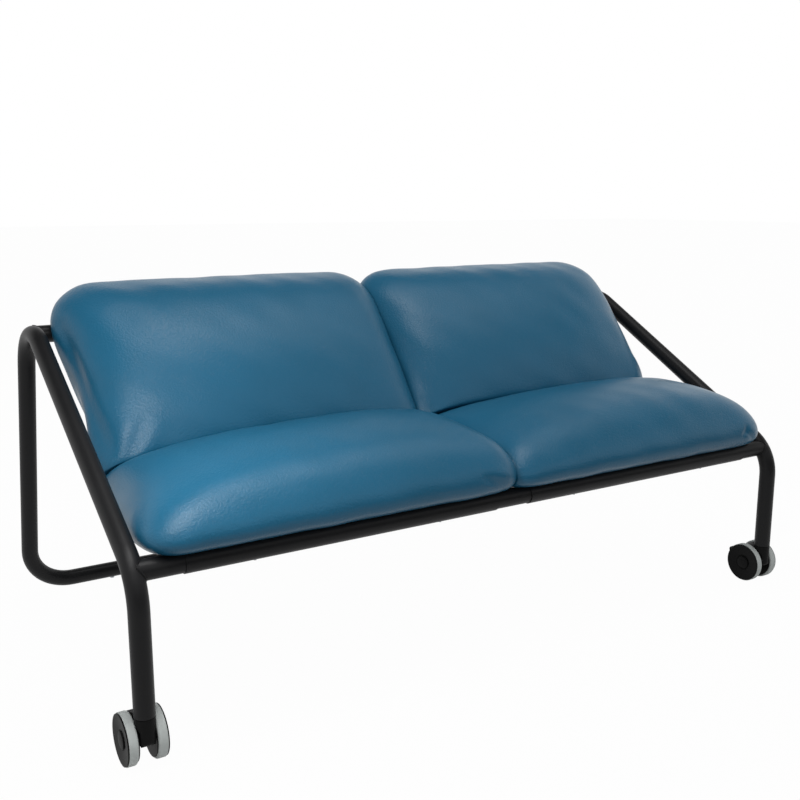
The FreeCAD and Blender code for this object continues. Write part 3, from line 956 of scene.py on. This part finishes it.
@dataclass
class WeldBead:
    """A rippled bead of weld round the end of a tube or bar, on the skin of the piece that it meets."""

    # A place on the tube's axis, short of its end, and the way from there to the end
    start: Vector
    way: Vector
    radius: float
    meets: Piece
    bead_r: float = 1.7 * MM
    ripple: float = 3.4 * MM
    ripple_share: float = 0.14
    # Rays that look for the other piece start just inside the tube
    ray_share: float = 0.97
    # Points round the tube, and round the bead
    ring_points: int = 120
    bead_points: int = 8

    def build(self) -> Piece:
        """Makes the bead.

        Returns:
            The bead, in its place.
        """
        turn = self.way.to_track_quat("Z", "Y")
        bpy.ops.mesh.primitive_torus_add(major_segments=self.ring_points, minor_segments=self.bead_points,
                                         major_radius=self.radius, minor_radius=self.bead_r,
                                         location=self.start, rotation=turn.to_euler())
        bpy.ops.object.transform_apply(location=True, rotation=True, scale=True)
        piece = bpy.context.object
        ripples = round(2 * math.pi * self.radius / self.ripple)
        first = turn @ Vector((1, 0, 0))
        second = turn @ Vector((0, 1, 0))
        graph = bpy.context.evaluated_depsgraph_get()
        reach = 0.0
        for vertex in piece.data.vertices:
            offset = vertex.co - self.start
            angle = math.atan2(offset.dot(second), offset.dot(first))
            spoke = first * math.cos(angle) + second * math.sin(angle)
            swell = 1 + self.ripple_share * math.cos(ripples * angle)
            ring = self.start + spoke * self.radius
            origin = self.start + spoke * self.radius * self.ray_share
            found, place, _, _ = self.meets.ray_cast(origin, self.way, depsgraph=graph)
            reach = (place - origin).dot(self.way) if found else reach
            vertex.co = ring + (vertex.co - ring) * swell + self.way * reach
        return piece


@dataclass
class TubeFrame:
    """The two bent side tubes, the rails between them, and the fittings of the floor rail."""

    nodes: dict
    # How far from the middle the search for the side tubes starts
    weld_start: float = 600 * MM
    rail_r: float = 16 * MM

    def dress(self) -> None:
        """Gives each piece its finish."""
        sides = [side.value for side in Side]
        tubes = ["front_rail", "top_rail", "floor_rail"] + [side + "_side_frame" for side in sides]
        finishes = (
            (PowderCoat(), tubes),
            (ZincSteel(), ["floor_rail_spigots", "floor_rail_screws", "glide_screws", "sleeve_set_screws"]),
            (MouldedNylon("glide_nylon", "#202021", roughness=0.58),
             [side + fitting for side in sides for fitting in ("_floor_glide", "_leg_socket")]),
        )
        for finish, names in finishes:
            for name in names:
                dress(self.nodes[name], finish.material())

    def build_welds(self) -> list[Piece]:
        """Lays the beads where the front and top rail meet the side tubes.

        Returns:
            One piece for each rail.
        """
        pieces = []
        for rail in ("front_rail", "top_rail"):
            low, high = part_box(rail)
            beads = []
            for side in Side:
                start = Vector((side.sign * self.weld_start, (low.y + high.y) / 2, (low.z + high.z) / 2))
                meets = self.nodes[side.value + "_side_frame"]
                beads.append(WeldBead(start, Vector((side.sign, 0, 0)), self.rail_r, meets).build())
            welds = joined(rail + "_welds", beads)
            fix_to_frame(welds, PowderCoat().material())
            pieces.append(welds)
        return pieces


@dataclass
class StrapRow:
    """The straps of one sling, and the sewn laps that close each strap behind the row."""

    name: str
    straps: Piece
    sling: Sling
    lap_length: float = 64 * MM
    lap_thickness: float = 1.8 * MM
    # The lap is a little narrower than the strap under it
    lap_margin: float = 0.5 * MM
    stitch_length: float = 3.4 * MM
    stitch_r: float = 0.5 * MM
    stitch_pitch: float = 4.6 * MM
    # From the lap's edge to the lines of stitches
    stitch_inset: float = 5.5 * MM
    stitch_sides: int = 6
    # How far from a stitch's end its edges still count as the tip
    tip_length: float = 0.1 * MM

    def dress(self) -> None:
        """Gives the straps their webbing."""
        dress(self.straps, self.webbing())

    def webbing(self) -> Material:
        """The row's webbing, its weave laid along the sling."""
        return ElasticWebbing(self.name.split("_", 1)[1] + "_webbing", self.sling.turn_deg).material()

    def spacing(self) -> tuple[float, float, float, int]:
        """Reads the row's layout from the straps.

        Returns:
            The first strap's low edge, a strap's width, the step to the next strap, and their count.
        """
        runs = np.sort(self.sling.local(points_of(self.straps))[:, 1])
        edges = np.concatenate([runs[:1], runs[1:][np.diff(runs) > MM]])
        return edges[0], edges[1] - edges[0], edges[2] - edges[0], len(edges) // 2

    def build_laps(self) -> list[Piece]:
        """Sews the laps.

        Returns:
            The laps and their stitches.
        """
        local = self.sling.local(points_of(self.straps))
        middle = (local[:, 0].min() + local[:, 0].max()) / 2
        under = local[:, 2].min()
        low, width, step, count = self.spacing()
        laps = self.lap(Vector((middle, low + width / 2, under - self.lap_thickness / 2)), width)
        half = Vector((self.lap_length / 2 - self.stitch_inset, width / 2 - self.stitch_inset, 0))
        seat = Vector((middle, low + width / 2, under - self.lap_thickness))
        lines = [self.stitches(seat, half, along) for along in (0, 1)]
        stitches = joined(self.name + "_stitches", lines)
        laps.name = self.name + "_laps"
        for piece, material in ((laps, self.webbing()), (stitches, SewingThread().material())):
            repeat(piece, count, (0, step, 0))
            move_points(piece, self.sling.place(points_of(piece)))
            fix_to_frame(piece, material)
        return [laps, stitches]

    def lap(self, middle: Vector, width: float) -> Piece:
        """Makes one strap's lap, in the sling's own directions.

        Args:
            middle: The lap's middle.
            width: The strap's width.

        Returns:
            A thin band with softened edges.
        """
        size = (self.lap_length, width - 2 * self.lap_margin, self.lap_thickness)
        bpy.ops.mesh.primitive_cube_add(size=1, location=middle, scale=size)
        bpy.ops.object.transform_apply(location=True, rotation=True, scale=True)
        piece = bpy.context.object
        bpy.ops.object.mode_set(mode="EDIT")
        bpy.ops.mesh.select_all(action="SELECT")
        bpy.ops.mesh.bevel(offset=self.lap_thickness / 3, segments=2, affect="EDGES")
        bpy.ops.object.mode_set(mode="OBJECT")
        return piece

    def stitches(self, middle: Vector, half: Vector, along: int) -> Piece:
        """Makes two facing lines of stitches of a lap's sewn box.

        Args:
            middle: The middle of the box.
            half: Half of the box's size.
            along: 0 for lines across the settee, 1 for lines up the sling.

        Returns:
            The two lines.
        """
        count = int(2 * half[along] / self.stitch_pitch)
        first = middle - half
        first[along] = middle[along] - (count - 1) / 2 * self.stitch_pitch
        turn = (0, math.pi / 2, 0) if along == 0 else (math.pi / 2, 0, 0)
        bpy.ops.mesh.primitive_cylinder_add(vertices=self.stitch_sides, radius=self.stitch_r,
                                            depth=self.stitch_length, location=first, rotation=turn)
        bpy.ops.object.transform_apply(location=True, rotation=True, scale=True)
        piece = bpy.context.object
        low_tip = first[along] - self.stitch_length / 2 + self.tip_length
        high_tip = first[along] + self.stitch_length / 2 - self.tip_length

        def at_tip(a: Vector, b: Vector) -> bool:
            """Tells whether an edge lies wholly at one tip."""
            return max(a[along], b[along]) < low_tip or min(a[along], b[along]) > high_tip

        round_edges(piece, self.stitch_r / 2, at_tip, segments=1)
        for axis, times, pitch in ((along, count, self.stitch_pitch), (1 - along, 2, 2 * half[1 - along])):
            step = [0.0, 0.0, 0.0]
            step[axis] = pitch
            repeat(piece, times, tuple(step))
        return piece


@dataclass
class SeatUnit:
    """One seat: sleeves on the rails, bent bars, straps and the two cushions."""

    side: Side
    nodes: dict
    seat_sling: Sling
    back_sling: Sling
    # The slope along which the back cushion presses on the seat cushion
    contact: Sling
    # From the corner of the slings to the middle of the top rail
    top_run: float
    # How far from a bar's end the search for what it meets starts
    weld_start: float = 60 * MM

    def dress(self) -> None:
        """Gives the metal and the straps their finishes."""
        for part in ("front_sleeve", "top_sleeve", "outer_seat_bar", "inner_seat_bar", "cross_bar"):
            dress(self.nodes[f"{self.side.value}_{part}"], PowderCoat().material())
        for row in self.strap_rows():
            row.dress()

    def strap_rows(self) -> list[StrapRow]:
        """The straps under the seat and behind the back."""
        rows = (("seat_strap", self.seat_sling), ("back_strap", self.back_sling))
        return [StrapRow(f"{self.side.value}_{row}", self.nodes[f"{self.side.value}_{row}s"], sling)
                for row, sling in rows]

    def build_welds(self) -> Piece:
        """Lays the beads where the bars meet the sleeves and each other.

        Returns:
            The unit's beads, as one piece.
        """
        name = self.side.value
        beads = []
        cross_low, cross_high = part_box(name + "_cross_bar")
        cross_mid = (cross_low + cross_high) / 2
        for bar in ("outer", "inner"):
            node = f"{name}_{bar}_seat_bar"
            low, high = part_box(node)
            radius = (high.x - low.x) / 2
            across = (low.x + high.x) / 2
            ends = (
                (self.seat_sling, self.weld_start, -1, "front_sleeve"),
                (self.back_sling, self.top_run - self.weld_start, 1, "top_sleeve"),
            )
            for sling, run, sign, sleeve in ends:
                start = Vector(sling.place(np.array([across, run, 0.0])))
                meets = self.nodes[f"{name}_{sleeve}"]
                beads.append(WeldBead(start, Vector(sign * sling.run), radius, meets).build())
            way = Vector((math.copysign(1, across - cross_mid.x), 0, 0))
            beads.append(WeldBead(cross_mid, way, radius, self.nodes[node]).build())
        welds = joined(name + "_seat_unit_welds", beads)
        fix_to_frame(welds, PowderCoat().material())
        return welds

    def build_cushions(self) -> list[Piece]:
        """Makes the seat cushion and the back cushion.

        Returns:
            The two cushions.
        """
        name = self.side.value
        seat = Cushion(
            name + "_seat", self.side, self.seat_sling, self.contact, sleeve=(0.0, 0.0), fill=0.8,
            run_low=-44 * MM, run_high=394 * MM, outer_x=664 * MM, inner_x=-22 * MM, root=90 * MM,
            slope=0.145, crown=48 * MM, crown_mid=120 * MM, crown_reach=185 * MM, corner_low_r=66 * MM,
            corner_high_r=96 * MM, face_r=72 * MM, rest_r=38 * MM, contact_side=-1,
            folds=self.seat_folds(), lean=10 * MM, rear_tuck=22 * MM)
        back = Cushion(
            name + "_back", self.side, self.back_sling, self.contact, sleeve=(self.top_run, 0.0), fill=0.75,
            run_low=-60 * MM, run_high=440 * MM, outer_x=660 * MM, inner_x=-22 * MM, root=186 * MM,
            slope=-0.2555, crown=52 * MM, crown_mid=260 * MM, crown_reach=190 * MM, corner_low_r=120 * MM,
            corner_high_r=96 * MM, face_r=80 * MM, rest_r=38 * MM, contact_side=1,
            folds=self.back_folds(), heel_tuck=59 * MM)
        return [seat.build(), back.build()]

    def seat_folds(self) -> tuple[Fold, ...]:
        """The folds in the seat's cover, which differ from side to side."""
        if self.side is Side.LEFT:
            return (
                Fold(FoldFace.LOW_END, (83, 53), (30, 26), height_mm=-3, width_mm=9),
                Fold(FoldFace.LOW_END, (72, 68), (26, 48), height_mm=1.6, width_mm=13),
            )
        return (
            Fold(FoldFace.LOW_END, (612, 30), (585, 50), height_mm=-3, width_mm=6),
            Fold(FoldFace.LOW_END, (592, 60), (574, 42), height_mm=-2.5, width_mm=6),
        )

    def back_folds(self) -> tuple[Fold, ...]:
        """The valley beside the back's front panel, and the pulls at its lower outer corner."""
        valley = Fold(FoldFace.OUTER_END, (345, 66), (60, 152), height_mm=-5, width_mm=14)
        if self.side is Side.RIGHT:
            return valley, Fold(FoldFace.FACE, (626, 92), (598, 146), height_mm=2.5, width_mm=10)
        return (
            valley,
            Fold(FoldFace.FACE, (622, 50), (588, 128), height_mm=1.8, width_mm=15),
            Fold(FoldFace.FACE, (602, 50), (562, 126), height_mm=-1.6, width_mm=13),
            Fold(FoldFace.FACE, (580, 52), (534, 122), height_mm=2, width_mm=17),
        )


@dataclass
class Caster:
    """One braked twin-wheel caster."""

    side: Side
    nodes: dict

    def dress(self) -> None:
        """Gives each piece its finish."""
        finishes = (
            (MouldedNylon("caster_nylon", "#151515", gloss_level=0.06),
             ("housing", "brake_pedal", "outer_wheel", "inner_wheel", "outer_cap", "inner_cap")),
            (TreadRubber(), ("outer_tyre", "inner_tyre")),
            (ZincSteel(), ("stem", "axle", "pedal_pin")),
        )
        for finish, parts in finishes:
            for part in parts:
                dress(self.nodes[f"{self.side.value}_caster_{part}"], finish.material())


@dataclass(frozen=True)
class Lamp:
    """A square softbox, which isn't seen itself."""

    name: str
    place: tuple[float, float, float]
    target: tuple[float, float, float]
    side: float
    # In watts
    power: float

    def build(self) -> None:
        """Hangs the lamp and points it at its target."""
        data = bpy.data.lights.new(self.name, "AREA")
        data.shape = "SQUARE"
        data.size = self.side
        data.energy = self.power
        lamp = bpy.data.objects.new(self.name, data)
        bpy.context.scene.collection.objects.link(lamp)
        lamp.location = self.place
        way = Vector(self.target) - Vector(self.place)
        lamp.rotation_euler = way.to_track_quat("-Z", "Y").to_euler()
        lamp.visible_camera = False


@dataclass(frozen=True)
class DarkCard:
    """A dark card, which only the gloss of the pieces sees."""

    name: str
    place: tuple[float, float, float]
    # From lying flat, about X
    turn_deg: float
    # Along X
    width: float
    height: float
    colour: str = "#2A2A2A"

    def build(self) -> None:
        """Stands the card in the studio."""
        turn = (math.radians(self.turn_deg), 0, 0)
        bpy.ops.mesh.primitive_plane_add(size=1, location=self.place, rotation=turn)
        card = bpy.context.object
        card.name = self.name
        card.scale = (self.width, self.height, 1.0)
        material, tree = new_material(self.name)
        end_material(tree, add_node(tree, "ShaderNodeEmission", {"Color": linear(self.colour)}))
        dress(card, material)
        card.visible_camera = False
        card.visible_diffuse = False
        card.visible_shadow = False


@dataclass
class Studio:
    """A white floor and background, soft lamps, dark cards and the camera."""

    # The camera, from the point on the floor midway between the front legs
    camera_place: Vector = Vector((-1.0680, -1.3109, 0.8144))
    heading_deg: float = 32.152
    pitch_deg: float = 11.453
    lens_mm: float = 44.635
    sensor_mm: float = 36.0
    floor_side: float = 60.0
    white: str = "#FFFFFF"
    floor_paint: str = "#B8B8B8"
    # How much of the floor's look is plain white; the rest takes the shadow
    floor_glow: float = 0.98
    fill_colour: str = "#F4F6F8"
    fill_strength: float = 0.56

    def build(self, leg_y: float) -> None:
        """Sets the camera, floor, world and lamps.

        Args:
            leg_y: The front legs' place along Y.
        """
        self.build_camera(leg_y)
        self.build_floor()
        self.build_world()
        self.build_lamps()

    def build_camera(self, leg_y: float) -> None:
        """Places the camera at the photograph's viewpoint.

        Args:
            leg_y: The front legs' place along Y.
        """
        data = bpy.data.cameras.new("camera")
        data.lens = self.lens_mm
        data.sensor_width = self.sensor_mm
        camera = bpy.data.objects.new("camera", data)
        bpy.context.scene.collection.objects.link(camera)
        camera.location = self.camera_place + Vector((0, leg_y, 0))
        camera.rotation_euler = (math.radians(90 - self.pitch_deg), 0, -math.radians(self.heading_deg))
        bpy.context.scene.camera = camera

    def build_floor(self) -> None:
        """Lays the white floor, which keeps a soft shadow."""
        bpy.ops.mesh.primitive_plane_add(size=self.floor_side)
        floor = bpy.context.object
        floor.name = "studio_floor"
        material, tree = new_material("white_floor")
        paint = add_node(tree, "ShaderNodeBsdfDiffuse", {"Color": linear(self.floor_paint)})
        glow = add_node(tree, "ShaderNodeEmission", {"Color": linear(self.white), "Strength": 1.0})
        seen = self.background_share(tree)
        share = add_node(tree, "ShaderNodeMath", {1: self.floor_glow}, {0: seen}, operation="MULTIPLY")
        links = {0: share.outputs[0], 1: paint.outputs[0], 2: glow.outputs[0]}
        end_material(tree, add_node(tree, "ShaderNodeMixShader", links=links))
        dress(floor, material)

    @staticmethod
    def background_share(tree: Tree) -> Socket:
        """Finds the rays that see the background.

        Args:
            tree: The node tree that needs them.

        Returns:
            A socket that is 1 for camera, glossy and transmission rays, and 0 for the rest.
        """
        path = add_node(tree, "ShaderNodeLightPath")
        share = path.outputs["Is Camera Ray"]
        for rays in ("Is Glossy Ray", "Is Transmission Ray"):
            both = {0: share, 1: path.outputs[rays]}
            share = add_node(tree, "ShaderNodeMath", links=both, operation="MAXIMUM").outputs[0]
        return share

    def build_world(self) -> None:
        """Fills the room with an even, dim light in front of a white background."""
        world = bpy.data.worlds.new("studio")
        bpy.context.scene.world = world
        world.use_nodes = True
        tree = world.node_tree
        tree.nodes.clear()
        fill = add_node(tree, "ShaderNodeBackground",
                        {"Color": linear(self.fill_colour), "Strength": self.fill_strength})
        white = add_node(tree, "ShaderNodeBackground", {"Color": linear(self.white), "Strength": 1.0})
        seen = self.background_share(tree)
        mix = add_node(tree, "ShaderNodeMixShader", links={0: seen, 1: fill.outputs[0], 2: white.outputs[0]})
        add_node(tree, "ShaderNodeOutputWorld", links={"Surface": mix.outputs[0]})

    def build_lamps(self) -> None:
        """Hangs the soft lamps, and stands the dark cards in front of the seats and above them."""
        lamps = (
            Lamp("over_left_seat", (-0.62, -0.46, 0.8), target=(-0.58, -0.3, 0.37), side=0.2, power=1.1),
            Lamp("near_left", (-0.85, -0.5, 0.85), target=(-0.55, -0.25, 0.37), side=0.3, power=1.9),
            Lamp("overhead", (-0.1, -0.45, 3.2), target=(0.0, -0.1, 0.4), side=1.0, power=24.3),
            Lamp("overhead_right", (0.8, -0.2, 2.0), target=(0.3, -0.1, 0.4), side=1.2, power=5.0),
        )
        cards = (
            DarkCard("front_card", (0.0, -2.6, 0.78), turn_deg=138, width=9.0, height=2.2),
            DarkCard("ceiling_card", (0.2, 0.4, 3.6), turn_deg=0, width=9.0, height=7.0),
        )
        for fitting in lamps + cards:
            fitting.build()


def middle_of(node: str) -> tuple[float, float]:
    """Finds the middle of a node's box, as Y and Z."""
    low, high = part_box(node)
    return (low.y + high.y) / 2, (low.z + high.z) / 2


def seat_unit(side: Side, nodes: dict) -> SeatUnit:
    """Lays out one seat from the rails of the frame.

    Args:
        side: Which seat it is.
        nodes: The frame's solids.

    Returns:
        The seat, not yet built.
    """
    front = middle_of("front_rail")
    top = middle_of("top_rail")
    corner = (front[0] + SLING_CORNER[0], front[1] + SLING_CORNER[1])
    seat_sling = Sling(front, math.degrees(math.atan2(corner[1] - front[1], corner[0] - front[0])))
    back_sling = Sling(corner, math.degrees(math.atan2(top[1] - corner[1], top[0] - corner[0])))
    contact = Sling((front[0] + CONTACT_PLACE[0], front[1] + CONTACT_PLACE[1]), CONTACT_TURN_DEG)
    return SeatUnit(side, nodes, seat_sling, back_sling, contact, math.dist(top, corner))


def main() -> None:
    """Builds the settee and its studio, piece by piece."""
    logging.basicConfig(level=logging.INFO, format="%(message)s")
    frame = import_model()
    nodes = frame["nodes"]
    bpy.context.scene.view_settings.view_transform = "Standard"
    tubes = TubeFrame(nodes)
    tubes.dress()
    made = tubes.build_welds()
    for side in Side:
        Caster(side, nodes).dress()
        unit = seat_unit(side, nodes)
        unit.dress()
        made.append(unit.build_welds())
        for row in unit.strap_rows():
            made += row.build_laps()
        made += unit.build_cushions()
    for piece in made:
        log.info("%s made", piece.name)
    Studio().build(middle_of("left_caster_stem")[0])
    log.info("studio set")


if __name__ == "__main__":
    main()
